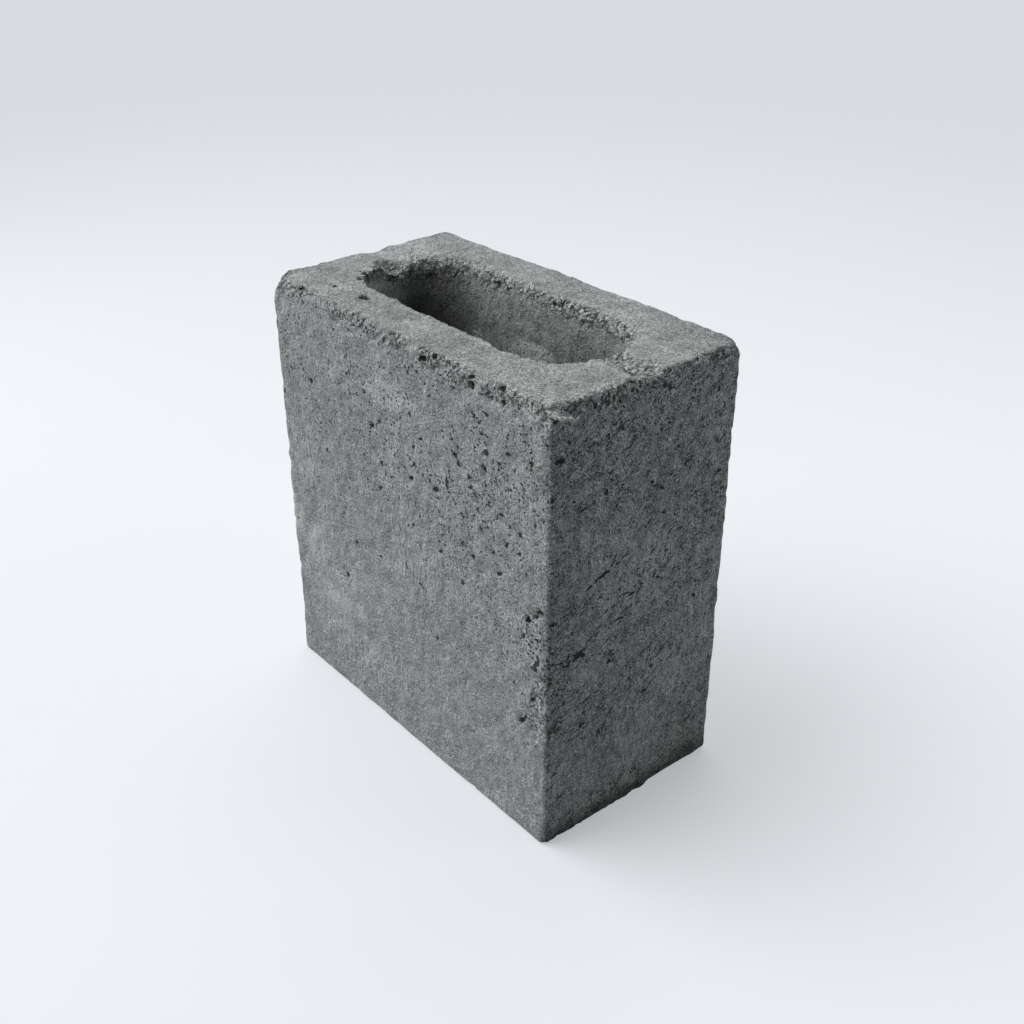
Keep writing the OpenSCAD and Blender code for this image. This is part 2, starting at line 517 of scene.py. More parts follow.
# Larger hollows seen on each face. The front is seen from -Y, the end from +X and the top from above.
# A row has the place along the face and up it, length and width, turn and depth, in millimetres and degrees.
HOLLOWS = {
    "front": (
        (83, 108, 4.2, 2.6, 70, 2.5), (80, 99, 3.4, 1.8, 50, 2), (90, 115, 2.8, 1.8, -40, 2),
        (88, 101, 2.4, 1.8, 0, 1.6), (79, 57, 4.4, 2.4, 40, 2.2), (82, 61, 2.4, 1.6, 60, 1.6),
        (9, 139, 3.4, 2.2, 25, 2), (-18, 153, 3.4, 1.8, 10, 1.8), (-12, 157, 2.8, 1.8, 35, 1.8),
        (-66, 157, 3.4, 2, -25, 1.8), (39, 161, 3.4, 2, -20, 1.8), (57, 162, 2.6, 1.8, -60, 1.8),
        (70, 135, 2.4, 1.9, 60, 1.8), (78, 135, 2.4, 1.6, 20, 1.6), (62, 128, 2.8, 1.6, 20, 1.6),
        (49, 120, 2.8, 1.8, -50, 1.8), (65, 120, 2.8, 1.6, 10, 1.6), (28, 113, 2.8, 1.6, 10, 1.4),
        (42, 105, 2.8, 1.6, -70, 1.6), (-36, 88, 3.4, 1.8, 35, 1.6), (23, 67, 2.4, 1.4, 20, 1.5),
        (-46, 66, 2.8, 1.8, 70, 1.4), (84, 175, 2.8, 1.8, 80, 1.8), (71, 174, 2.6, 1.6, 20, 1.4),
        (20, 195, 4.5, 3, 20, 2), (50, 194, 3.6, 3, 80, 2.4), (68, 193, 2.8, 2.2, 60, 1.8),
        (17, 160, 3.4, 1.2, 25, 0.7), (41, 158, 2.4, 1.6, -60, 0.8), (58, 156, 2.4, 1, 70, 0.7),
        (67, 147, 2.8, 1.6, 15, 1), (72, 144, 2.2, 1.4, 70, 1), (78, 143, 2.4, 1.6, -40, 1),
        (82, 128, 2.6, 1, 80, 0.7), (13, 89, 4.6, 1, -25, 0.6), (3, 94, 3.6, 1, -35, 0.6),
        (26, 141, 4, 2.4, 30, 0.8), (53, 143, 2.8, 1.2, -50, 0.7), (9, 117, 1.8, 1.2, 40, 0.6),
        (-90, 144, 3, 1.8, 20, 1), (-22, 167, 2.4, 1.8, 20, 0.8), (-56, 127, 2.4, 1.6, 60, 0.6),
        (-12, 138, 2.4, 1.6, 10, 0.8), (11, 154, 2.2, 1.6, 70, 0.8), (-5, 134, 2.8, 1, 20, 0.6),
        (-14, 125, 3.2, 1.8, 45, 0.9), (24, 181, 2.6, 1.2, 20, 0.7), (-18, 89, 4.2, 0.9, 15, 0.5),
        (85, 71, 2.8, 1.6, 60, 1.2), (88, 112, 2.6, 1.6, 30, 1.4), (27, 198, 3, 2.4, 20, 1.4),
    ),
    "end": (
        (-22.8, 122.2, 11, 1.5, 18, 1.2), (-29.8, 119.7, 4.5, 0.9, 22, 0.4),
        (-15.8, 128.4, 5, 0.9, 55, 0.4), (-10.1, 126.8, 4.4, 0.9, 12, 0.4),
        (-12.4, 98.3, 6.2, 1.3, -6, 0.8), (-48.2, 93.8, 5.6, 0.7, -42, 0.4),
        (-44.1, 91.2, 6, 0.7, -23, 0.4), (-33.2, 90.3, 7.4, 2.4, -28, 1.6),
        (-33.3, 90.7, 7.8, 2.4, 32, 1.6), (-5.7, 107.5, 5, 1.3, 9, 0.8),
        (-11.5, 109, 4.6, 0.9, 16, 0.4), (-18.5, 47.4, 8.5, 1, 72, 0.4),
        (-21.5, 46.5, 5.6, 0.9, 70, 0.4), (-45.4, 179.1, 6, 2.2, -5, 1.2),
        (21.2, 157.3, 3.8, 1.3, 24, 0.8), (7.5, 150.4, 3.2, 1.3, -19, 0.8),
        (-33.6, 155.3, 4, 1.3, 9, 0.8), (2.9, 154.5, 2.6, 1.5, -18, 0.8), (-16, 84, 3.6, 2.2, 60, 1.8),
        (-17, 80, 3, 2, 30, 1.6), (-29, 66, 3.2, 2.2, 35, 1.6), (-31, 55, 3, 2.2, 30, 1.8),
        (4, 55, 2.8, 2, 30, 1.2), (8, 66, 2.8, 2, 30, 1.2),
    ),
    "top": (
        (-40, -35.5, 7, 4, -15, 2.4), (-70, -48, 4.6, 1.6, 30, 1.8), (67, -49, 3.4, 2.4, 20, 1.8),
        (-68, -17, 4.6, 2.6, -54, 2), (-62, -23, 5, 2.6, -37, 2), (-60, -37, 2.8, 2, -40, 1.4),
    ),
}


def hollows(points, normals):
    """Depth in metres of the larger hollows, and each point's place in the nearest of them.

    On its own face a hollow is a bowl over an ellipse, 1 less the squares of both coordinates. A place has
    two coordinates, along the ellipse and over it, which are 1 at its rim, and a third that grows with the
    distance from 3 mm on, so that no false rim comes up where the nearest hollow changes.
    """
    x, y, z = np.moveaxis(points, -1, 0)
    facing = {
        "front": (-normals[..., 1], x, z),
        "end": (normals[..., 0], y, z),
        "top": (normals[..., 2], x, y),
    }
    outside = np.minimum(BLOCK_SIZE.x / 2 - np.abs(x), BLOCK_SIZE.y / 2 - np.abs(y)) < 20 * MM
    depth = np.zeros(points.shape[:-1])
    place = np.full(points.shape, FAR)
    for face, rows in HOLLOWS.items():
        faces, a, b = facing[face]
        on_face = (faces > 0.3) & (outside | (face == "top"))
        for across, up, long, wide, turn, deep in rows:
            angle = math.radians(turn)
            da, db = a - across * MM, b - up * MM
            along = (da * math.cos(angle) + db * math.sin(angle)) / (long * MM / 2)
            over = (db * math.cos(angle) - da * math.sin(angle)) / (wide * MM / 2)
            depth = np.maximum(depth, on_face * np.clip(1 - along**2 - over**2, 0, 1) * deep * MM)
            apart = np.maximum(np.hypot(da, db) / MM - long / 2 - 3, 0)
            nearer = on_face & (np.hypot(along, over) + apart < np.linalg.norm(place, axis=-1))
            place = np.where(nearer[..., None], np.stack([along, over, apart], axis=-1), place)
    return depth, place


def facing_up(normals):
    """How much each point belongs to the top, from 0 to 1."""
    return smooth(0.5, 0.9, normals[..., 2])


def on_front(normals):
    """Which points face the front."""
    return normals[..., 1] < -0.5


def from_core_line(points, shape):
    """Distance in plan from the straight line between the middles of the core's round ends."""
    core_radius = shape.width / 2 - shape.shell
    straight = shape.length / 2 - shape.web - core_radius
    return np.hypot(np.maximum(np.abs(points[..., 0]) - straight, 0), points[..., 1])


def wear_patches(points, shape):
    """Patches of wear along the edges, from 0.3 to 1. The right part of the front is worn throughout."""
    patchy = 0.3 + 0.7 * smooth(0.38, 0.6, layered_noise(points, 14 * MM, WORN_EDGE_SEED, 3))
    right_front = rise(50, 70, points[..., 0]) * (points[..., 1] < -0.4 * shape.width)
    return np.maximum(patchy, 0.85 * right_front)


def outer_edge_weight(points, shape, patchy):
    """How much each point belongs to the worn outer edges, from 0 to 1.

    The distance to the top edge is taken in the section, as the root of the squares of the depth under the
    top and the distance from the side. The front and right top edges, the left front corner, the left
    upright edges and a stretch of the near one are worn most. Under the near end of the ledge the right end
    is sound.
    """
    x, y, z = np.moveaxis(points, -1, 0)
    under_top = shape.height - z
    to_right = shape.length / 2 - x
    to_end = shape.length / 2 - np.abs(x)
    to_face = shape.width / 2 - np.abs(y)
    top_edge = patchy * fall(1, 8, np.hypot(0.55 * under_top, 1.7 * np.minimum(to_end, to_face)))
    top_edge *= 0.45 + 0.55 * smooth(-0.7, 0.5, x / shape.length - y / shape.width)
    under_right = fall(3, 8, under_top) * fall(1, 3, to_right)
    broken_strip = (0.5 + 0.5 * patchy) * under_right * rise(-49, -40, y)
    upright = np.where(x < 0, patchy - 0.15, 0.35 * (patchy - 0.3)) * fall(1, 5, np.hypot(to_end, to_face))
    left_corner = np.array([-shape.length / 2, -shape.width / 2, shape.height])
    corner = patchy * fall(6, 18, np.linalg.norm(points - left_corner, axis=-1))
    worn = np.maximum.reduce([top_edge, broken_strip, upright, corner])
    sound = rise(-1.6, -0.6, under_top - end_ledge(points)) * fall(-38, -34, y)
    worn = worn * (1 - 0.9 * sound * fall(1, 3, to_right))
    near_edge = rise(40, 60, z) * fall(98, 118, z) * (y < -0.4 * shape.width) * fall(6, 20, to_right)
    near_edge = 0.7 * near_edge * smooth(0.4, 0.58, layered_noise(points, 10 * MM, ROUGH_EDGE_SEED, 3))
    foot = 0.7 * patchy * (fall(2, 9, z) * (to_right < 3 * MM))
    return np.maximum.reduce([worn, near_edge, foot])


def rim_weight(points, shape, patchy):
    """How much each point belongs to the core's top rim, from 0 to 1, most at its back and its left end.

    The distance to the rim is taken in the section, from the depth under the top and from the core's wall.
    """
    x, y, z = np.moveaxis(points, -1, 0)
    to_core = from_core_line(points, shape) - (shape.width / 2 - shape.shell)
    back_or_left = np.maximum(rise(-5, 15, y), fall(-66, -50, x))
    left_back = fall(-55, -35, x) * rise(-8, 8, y)
    reach = 8 * MM + 6 * MM * left_back
    rim = 1 - smooth(1.5 * MM, reach, np.hypot(0.7 * (shape.height - z), to_core))
    return rim * ((0.6 + 0.4 * patchy) * (0.7 + 0.3 * back_or_left))


def bar_weight(points, shape):
    """How much each point belongs to the bar marks on the webs: a bell curve across them, from 0 to 1."""
    x, y, z = np.moveaxis(points, -1, 0)
    on_web = np.abs(x) > shape.length / 2 - shape.web - 4 * MM
    bar = on_web * np.exp(-((y / (shape.bar_width * 0.6)) ** 2))
    return bar * fall(5, 12, shape.height - z) * np.where(x > 0, 0.8, 0.25 + 0.6 * rise(-84, -76, x))


def pit_crowding(points, normals, shape, seed):
    """How crowded the pits are, from 0 up.

    They crowd towards the top of the sides, on the right part of the front, beside the near edge and at the
    foot of the right end. There are fewer in the core, and few on the top but for its left part.
    """
    x, y, z = np.moveaxis(points, -1, 0)
    patches = layered_noise(points, 45 * MM, seed, 2)
    sides = 0.3 + 0.7 * smooth(0.3, 0.75, z / shape.height + patches - 0.5)
    flat = 0.85 - 0.4 * fall(-75, -40, x)
    sides = sides * (1 - flat * facing_up(normals)) * np.where(inside_core(points, shape), 0.6, 1)
    right_front = on_front(normals) * rise(-30, 70, x) * rise(50, 90, z)
    to_near_edge = np.hypot(shape.length / 2 - x, shape.width / 2 + y)
    near_edge = fall(6, 20, to_near_edge) * rise(35, 55, z) * fall(105, 125, z)
    end = right_end(points, normals) * (0.25 + 0.6 * fall(4, 13, z) * smooth(0.4, 0.6, patches))
    return sides + 0.3 * right_front + 0.8 * near_edge + end


def relief_depth(points, normals, shape, relief):
    """How far each point of the smooth block lies below it, in metres, and what its material needs to know.

    Broad waves, lumps and sandy grain cover all faces, cut off at the mould's plane so that flats stay
    between the dips; the top is calmer, and so is the foot. Pits are bowls where they crowd. The top edge,
    the core's rim and the bar marks crumble: ragged bites between sound stretches, grains with creases
    between them, and small nibbles. Each layer of noise has seeds of its own.
    """
    seed = relief.seed * 100
    x, _, z = np.moveaxis(points, -1, 0)
    patchy = wear_patches(points, shape)
    edge = outer_edge_weight(points, shape, patchy)
    rim = rim_weight(points, shape, patchy)
    crumbled = np.maximum.reduce([edge, rim, bar_weight(points, shape)])
    calm = (1 - 0.55 * facing_up(normals)) * (0.35 + 0.65 * rise(0, 14, z))

    wave = layered_noise(points, 60 * MM, seed, 2)
    lump = smooth(0.35, 0.85, layered_noise(points, 9 * MM, seed + 10, 2))
    grain = smooth(0.35, 0.85, layered_noise(points, 3.6 * MM, seed + 20, 1))
    pitted = pit_crowding(points, normals, shape, seed + 30)
    pit = pits(points, 8 * MM, seed + 40, 1.8 * MM, 0.4) * pitted
    bites = smooth(0.4, 0.7, layered_noise(points, 8 * MM, seed + 60, 2))
    uneven = warped(points, 3 * MM, 2 * MM, seed + 70)
    creases = np.minimum(nearest_seed(uneven, 3.4 * MM, seed + 80)[0] ** 2, 1)
    nibbles = smooth(0.5, 0.7, layered_noise(points, 2.6 * MM, seed + 90, 2))
    nibbled = np.maximum(rim, np.where(x < -0.4 * shape.length, 1.3, 0.5) * edge)
    crumble = crumbled * (0.5 * bites + 0.5 * creases) + 0.6 * nibbled * nibbles

    hollow, place = hollows(points, normals)
    depth = calm * (relief.wave * wave + relief.lump * lump + relief.grain * grain)
    depth += relief.pit * pit + relief.crumble * crumble + hollow
    return depth, {"hollow": place, "sunk": pit, "pitted": pitted, "crumbled": crumbled}


def core_painted_shade(points, shape):
    """Painted shade on the core's wall: darker with depth and to the right, most at its left back where the
    shadow lies, and paler at the front of its left end, as painted light.
    """
    x, y, z = np.moveaxis(points, -1, 0)
    under_top = shape.height - z
    # Painted shade, deeper down the core and deep on its right
    darkening = 0.25 * rise(2, 10, under_top) + 0.2 * rise(10, 50, under_top)
    # Painted shadow at the left back, and painted light at the front of the left end
    darkening += fall(-52, -28, x) * rise(3, 8, under_top) * (0.83 * rise(-2, 10, y) - 0.6)
    darkening += 0.2 * rise(-10, 40, x) * rise(8, 30, under_top)
    return darkening


def end_tone_and_painted_light(points, shape):
    """How dark the right end is: darker at its foot, and painted shade beside the near edge.

    Crumbs above the ledge under its top edge are paler, as painted light on their facets, and the flake along
    the ledge's near end is paler still, as a painted highlight.
    """
    _, y, z = np.moveaxis(points, -1, 0)
    uneven = layered_noise(points, 9 * MM, FOOT_DARKENING_SEED, 2) - 0.5
    foot = 0.6 * fall(3, 14, z + 10 * MM * uneven)
    # Painted shade beside the near edge
    near_edge = 0.17 * fall(-46, -22, y) * rise(50, 110, z)
    below_ledge = shape.height - z - end_ledge(points)
    crumbly = smooth(0.42, 0.6, layered_noise(points, 4 * MM, CRUMB_SEED, 2))
    # Painted light on the crumbs' facets above the ledge
    crumbs = 0.55 * fall(-2, 1, below_ledge) * crumbly
    # Painted highlight on the flake along the ledge's near end
    flake = 1.6 * np.exp(-((below_ledge / (0.8 * MM)) ** 2)) * fall(-40, -35, y)
    return foot + near_edge - np.maximum(crumbs, flake)


def bed_darkening(points):
    """How dark the top is: darker along the front and at the right back, and mottled, most on the left.

    Its left end and its near corner are paler.
    """
    x, y, _ = np.moveaxis(points, -1, 0)
    darkening = 0.06 * fall(-20, 30, y) - 0.07 * fall(-85, -60, x) + 0.02
    darkening += 0.1 * rise(0, 40, x) * rise(10, 40, y)
    darkening -= 0.12 * rise(60, 85, x) * fall(-45, -20, y)
    darkening += 0.6 * (layered_noise(points, 12 * MM, BED_MOTTLE_SEED, 3) - 0.5)
    darkening += 0.5 * fall(-70, -45, x) * (layered_noise(points, 20 * MM, LEFT_MOTTLE_SEED, 2) - 0.45)
    return darkening


def darkening_and_painted_light(points, normals, shape):
    """What each point keeps of its clean colour: 1 less the darkening of the face that it lies on. In the
    core this is painted shade and light, and on the right end it is partly painted light and shade.
    """
    x, _, z = np.moveaxis(points, -1, 0)
    low_front = 0.06 * on_front(normals) * rise(15, 45, x) * fall(30, 60, z)
    outside = right_end(points, normals) * end_tone_and_painted_light(points, shape)
    outside = outside + facing_up(normals) * bed_darkening(points) + low_front
    return 1 - np.where(inside_core(points, shape), core_painted_shade(points, shape), outside)


def inside_core(points, shape):
    """Which points lie on the core's wall or its rims."""
    radius = shape.width / 2 - shape.shell
    under_top = np.clip(shape.height - points[..., 2], 0, shape.rim_radius)
    worn_back = np.where(points[..., 1] < 0, shape.rim_wear, 0)
    return from_core_line(points, shape) < radius + shape.rim_radius - under_top + worn_back + 0.5 * MM


def right_end(points, normals):
    """How much each point belongs to the right end face, from 0 to 1."""
    return smooth(0.5, 0.9, normals[..., 0]) * (points[..., 0] > 0.45 * BLOCK_SIZE.x)


def speckle_and_grain_shade_strength(points, normals):
    """How strong the sandy speckle is: 1 on the sides, more on the right end and on the top. On the shaded
    right end the extra contrast partly paints the grains' shade.
    """
    return 1 + 0.9 * right_end(points, normals) + 0.25 * facing_up(normals)


def drag_marks(points, normals, relief):
    """Where the mould has dragged streaks up the sides, from 0 to 1.

    They lie in patches, most of them on the right end's lower half.
    """
    upright = 1 - smooth(0.3, 0.7, np.abs(normals[..., 2]))
    patches = layered_noise(points, 30 * MM, relief.seed * 100 + 300, 2)
    low = 0.3 * (0.5 - points[..., 2] / BLOCK_SIZE.z) * rise(60, 90, points[..., 0])
    return upright * smooth(0.48, 0.7, patches + low)


def scratches(points, normals):
    """How strong the slanting scratches are, from 0 to 1: patches on the right end."""
    patches = smooth(0.35, 0.6, layered_noise(points, 25 * MM, SCRATCH_SEED, 2))
    return right_end(points, normals) * patches


# Pale dusty patches on the front: place along it and up it, length and height in millimetres, and strength
BLOOM = (
    (-2, 171, 44, 11, 1.0),
    (-42, 168, 20, 10, 0.6),
    (-90, 83, 22, 24, 1.0),
    (-73, 71, 32, 24, 1.0),
    (-51, 53, 42, 30, 1.0),
    (-28, 66, 44, 24, 0.55),
    (-44, 36, 40, 24, 0.4),
    (88, 195, 16, 6, 0.8),
)


def bloom_patches(points, normals, relief):
    """How pale each point is, from 0 to 1: soft ellipses on the front face, broken up by noise."""
    broken = layered_noise(points, 7 * MM, relief.seed * 100 + 200, 3)
    broken = 0.35 + 0.65 * smooth(0.35, 0.6, broken)
    pale = np.zeros(points.shape[:-1])
    for across, up, long, tall, strength in BLOOM:
        along = (points[..., 0] / MM - across) / (long / 2)
        over = (points[..., 2] / MM - up) / (tall / 2)
        pale = np.maximum(pale, strength * np.clip(1.4 - np.hypot(along, over), 0, 1))
    return pale * broken * on_front(normals)


def closed_grid_faces(columns, rows):
    """Four corners of each face of a grid of columns by rows that joins up with itself both ways."""
    index = np.arange(columns * rows).reshape(columns, rows)
    beyond = np.roll(index, -1, axis=0)
    faces = np.stack([index, beyond, np.roll(beyond, -1, axis=1), np.roll(index, -1, axis=1)], axis=-1)
    return faces.reshape(-1, 4)


def turned_faces(points, normals, faces):
    """Which faces of the relief are turned by more than 50 degrees from the smooth block's normals."""
    least_match = math.cos(math.radians(50))
    a, b, c, d = np.moveaxis(points.reshape(-1, 3)[faces], 1, 0)
    turned = np.cross(c - a, d - b)
    straight = normals.reshape(-1, 3)[faces].mean(axis=1)
    return (turned * straight).sum(axis=1) < least_match * np.linalg.norm(turned, axis=1)


def grid_object(name, points, faces, faceted):
    """A mesh object at the origin from arrays of points and four-cornered faces.

    The faceted ones are shaded flat, and the others smooth.
    """
    mesh = bpy.data.meshes.new(name)
    mesh.vertices.add(len(points))
    mesh.vertices.foreach_set("co", points.astype(np.float32).ravel())
    mesh.loops.add(faces.size)
    mesh.loops.foreach_set("vertex_index", faces.astype(np.int32).ravel())
    mesh.polygons.add(len(faces))
    mesh.polygons.foreach_set("loop_start", np.arange(0, faces.size, 4, dtype=np.int32))
    mesh.polygons.foreach_set("use_smooth", ~faceted)
    mesh.update(calc_edges=True)
    if mesh.validate():
        raise RuntimeError(f"{name} has faulty faces")
    piece = bpy.data.objects.new(name, mesh)
    bpy.context.scene.collection.objects.link(piece)
    return piece


def add_point_values(piece, name, values):
    """Stores one number or one vector for each point of the piece, for its material to read."""
    is_vector = values.ndim == 3
    layer = piece.data.attributes.new(name, "FLOAT_VECTOR" if is_vector else "FLOAT", "POINT")
    layer.data.foreach_set("vector" if is_vector else "value", values.astype(np.float32).ravel())


# Materials


def add_node(tree, kind, settings=None, **inputs):
    """A shader node with its settings, and its inputs set to values or linked to other nodes' outputs."""
    node = tree.nodes.new(kind)
    for key, value in (settings or {}).items():
        setattr(node, key, value)
    for key, value in inputs.items():
        socket = node.inputs[int(key[1:]) if key[1:].isdigit() else key.replace("_", " ")]
        if isinstance(value, bpy.types.NodeSocket):
            tree.links.new(value, socket)
        else:
            socket.default_value = value
    return node


def math_node(tree, operation, a, b, c=0.0):
    return add_node(tree, "ShaderNodeMath", {"operation": operation}, i0=a, i1=b, i2=c).outputs[0]


def times(tree, a, b):
    return math_node(tree, "MULTIPLY", a, b)


def largest_of(tree, first, *others):
    for value in others:
        first = math_node(tree, "MAXIMUM", first, value)
    return first


def weighted_sum(tree, start, *parts):
    """The start plus each part times its share."""
    total = start
    for share, part in parts:
        total = math_node(tree, "MULTIPLY_ADD", part, share, total)
    return total


def vector_node(tree, operation, a, b, c=(0, 0, 0)):
    return add_node(tree, "ShaderNodeVectorMath", {"operation": operation}, i0=a, i1=b, i2=c).outputs[0]


def range_node(tree, value, low, high, to_low=0.0, to_high=1.0):
    """Maps a value from one range to another along a smooth curve, held at both ends."""
    node = add_node(
        tree,
        "ShaderNodeMapRange",
        {"interpolation_type": "SMOOTHSTEP"},
        Value=value,
        From_Min=low,
        From_Max=high,
        To_Min=to_low,
        To_Max=to_high,
    )
    return node.outputs[0]


def noise_node(tree, place, scale, detail, roughness=0.5):
    node = add_node(
        tree, "ShaderNodeTexNoise", Vector=place, Scale=scale, Detail=detail, Roughness=roughness
    )
    return node.outputs["Fac"]


def mix_colour(tree, share, first, second, blend="MIX"):
    node = add_node(
        tree, "ShaderNodeMix", {"data_type": "RGBA", "blend_type": blend, "clamp_factor": True}, i0=share
    )
    for socket, value in ((node.inputs[6], first), (node.inputs[7], second)):
        if isinstance(value, bpy.types.NodeSocket):
            tree.links.new(value, socket)
        else:
            socket.default_value = (*value, 1)
    return node.outputs[2]


def voronoi_cells(tree, place, scale, channel):
    """Distance from the middle of each Voronoi cell, and one channel of its random colour."""
    cells = add_node(tree, "ShaderNodeTexVoronoi", Vector=place, Scale=scale).outputs
    picks = add_node(tree, "ShaderNodeSeparateColor", Color=cells["Color"]).outputs
    return cells["Distance"], picks[channel]


def concrete_material(finish):
    """Grey concrete: sandy speckle, grains, pores and crumbs in colour and bump.

    The mesh says where it is hollow, pitted, crumbled, dragged, bloomed or scratched, how much it is
    darkened, with painted light and shade in the core and on the right end, and how strong the speckle is.
    Pores, pits, creases and hollows are painted dark, as painted shade. Places are in millimetres, and a
    pattern's scale is in cells per millimetre.
    """
    material = bpy.data.materials.new("concrete")
    material.use_nodes = True
    tree = material.node_tree
    shader = tree.nodes["Principled BSDF"]
    coordinates = add_node(tree, "ShaderNodeTexCoord").outputs["Object"]

    def mapped(rotation, scale, kind="POINT"):
        settings = {"vector_type": kind}
        inputs = {"Vector": coordinates, "Rotation": rotation, "Scale": scale}
        return add_node(tree, "ShaderNodeMapping", settings, **inputs).outputs[0]

    place = mapped((0, 0, 0), (1000, 1000, 1000))
    upright = mapped((0.35, 0.2, 0), (600, 600, 110))
    slant = mapped((math.radians(35), 0, 0), (1.3 * MM, 6 * MM, 1.3 * MM), "TEXTURE")
    sunk, pitted, crumbled, dragged, bloom, darkening_and_painted_light_factor, speckle, scratched = (
        add_node(tree, "ShaderNodeAttribute", {"attribute_name": name}).outputs["Fac"]
        for name in ("sunk", "pitted", "crumbled", "dragged", "bloom", "darkening_and_painted_light_factor", "speckle", "scratched")
    )
    hollow = add_node(tree, "ShaderNodeAttribute", {"attribute_name": "hollow"}).outputs["Vector"]

    # Sand, grit, dust, streaks, grains and crumbs
    push = add_node(tree, "ShaderNodeTexNoise", Vector=place, Scale=0.6, Detail=2.5).outputs["Color"]
    push = vector_node(tree, "SUBTRACT", push, (0.5, 0.5, 0.5))
    ragged = vector_node(tree, "MULTIPLY_ADD", push, (2.6, 2.6, 2.6), place)
    sand = range_node(tree, noise_node(tree, place, 2.0, 1, 0.6), 0.33, 0.67)
    grit = range_node(tree, noise_node(tree, ragged, 0.85, 1), 0.56, 0.68)
    dust = weighted_sum(tree, noise_node(tree, ragged, 0.7, 2), (0.3, bloom))
    dust = times(tree, range_node(tree, dust, 0.58, 0.72), range_node(tree, bloom, 0.2, 0.5, 0.0, 0.85))
    mottle = range_node(tree, noise_node(tree, place, 0.17, 3, 0.6), 0.3, 0.7)
    broad = noise_node(tree, place, 0.022, 2)
    streak = times(tree, range_node(tree, noise_node(tree, upright, 1.0, 2), 0.36, 0.64), dragged)
    grain_distance, grain_tone = voronoi_cells(tree, ragged, 0.65, 0)
    grain_rise = range_node(tree, grain_distance, 0.15, 0.85, 1.0, 0.0)
    crumb_distance, crumb_tone = voronoi_cells(tree, ragged, 0.5, 1)
    crumb_rise = range_node(tree, crumb_distance, 0.1, 0.8, 1.0, 0.0)

    # Painted shade in pores, pits, creases and hollows, and dark scratches
    crowd = range_node(tree, noise_node(tree, place, 0.11, 2, 0.6), 0.42, 0.6, 0.35, 1.0)
    crowd = times(tree, crowd, pitted)
    rim = vector_node(tree, "MULTIPLY_ADD", push, (1.2, 1.2, 0), hollow)
    rim = add_node(tree, "ShaderNodeVectorMath", {"operation": "LENGTH"}, i0=rim).outputs["Value"]
    rim = weighted_sum(tree, rim, (0.3, sand))
    cluster = largest_of(tree, crowd, range_node(tree, rim, 1.3, 3.6, 1.0, 0.0))
    pore = pore_mask(tree, ragged, 0.75, 0.35, 0.58, weighted_sum(tree, 0.5, (0.5, cluster)), sand)
    pit = pore_mask(tree, ragged, 0.32, 0.4, 0.46, crowd, sand)
    crease = range_node(tree, crumb_distance, 0.45, 0.75)
    crease = times(tree, crease, range_node(tree, crumb_tone, 0.35, 0.55))
    crease = times(tree, crease, range_node(tree, crumbled, 0.15, 0.9))
    crumb_pore = pore_mask(tree, ragged, 0.42, 0.2, 0.6, crumbled, sand)
    hollow_shade = range_node(tree, rim, 0.95, 1.2, 1.0, 0.0)
    shade = range_node(tree, weighted_sum(tree, sunk, (0.5, mottle)), 0.6, 1.2)
    scratch = range_node(tree, noise_node(tree, slant, 1.0, 1.5), 0.62, 0.67, 0.0, 0.8)
    scratch = times(tree, scratch, scratched)
    # Painted shade: pores, pits, creases and hollows are painted dark, along with the dark scratches
    pit_shade_and_scratches = largest_of(tree, pore, pit, crease, crumb_pore, hollow_shade, shade, scratch)

    # Colour: the speckle is spread about its average, wider on the right end, where it partly paints the
    # grains' shade
    average = 1.08
    tone = weighted_sum(
        tree, 0.27, (0.85, sand), (0.45, grit), (0.3, mottle), (0.3, broad), (0.25, streak), (0.2, grain_tone)
    )
    tone = math_node(tree, "MULTIPLY_ADD", math_node(tree, "SUBTRACT", tone, average), speckle, average)
    crumb_light = times(tree, crumbled, math_node(tree, "SUBTRACT", crumb_tone, 0.3))
    # Darkening, with painted light and shade in the core and on the right end
    tone = times(tree, weighted_sum(tree, tone, (0.9, crumb_light), (0.4, bloom)), darkening_and_painted_light_factor)
    colour = mix_colour(tree, 1.0, finish.base, tone, "MULTIPLY")
    colour = mix_colour(tree, dust, colour, finish.pale)
    # Painted shade in pits, pores, creases and hollows
    colour = mix_colour(tree, times(tree, pit_shade_and_scratches, 0.92), colour, finish.dark)
    tree.links.new(colour, shader.inputs["Base Color"])
    shader.inputs["Roughness"].default_value = finish.roughness
    shader.inputs["Specular IOR Level"].default_value = 0.2

    # Bump, in millimetres
    crumb_rise = times(tree, crumb_rise, crumbled)
    height = weighted_sum(tree, 0.0, (0.2, sand), (0.45, mottle), (0.22, grain_rise), (0.35, streak))
    height = weighted_sum(tree, height, (0.7, crumb_rise), (-0.8, pit_shade_and_scratches))
    bump = add_node(tree, "ShaderNodeBump", Strength=1.0, Distance=MM, Height=height)
    tree.links.new(bump.outputs[0], shader.inputs["Normal"])
    return material


def pore_mask(tree, place, scale, least, largest, crowd, rough):
    """Small pits, 1 inside and 0 outside.

    Each Voronoi cell whose random number passes least has a spot, whose radius grows with that number and
    with the crowd, from 0 to 1, up to the largest radius, in cells. The rough value, from 0 to 1, eats into
    its rim.
    """
    distance, pick = voronoi_cells(tree, place, scale, 1)
    radius = times(tree, range_node(tree, pick, least, 1.0, 0.0, largest), crowd)
    radius = weighted_sum(tree, radius, (-0.2, rough))
    inside = math_node(tree, "SUBTRACT", radius, distance)
    return range_node(tree, inside, 0.0, largest * 0.18)


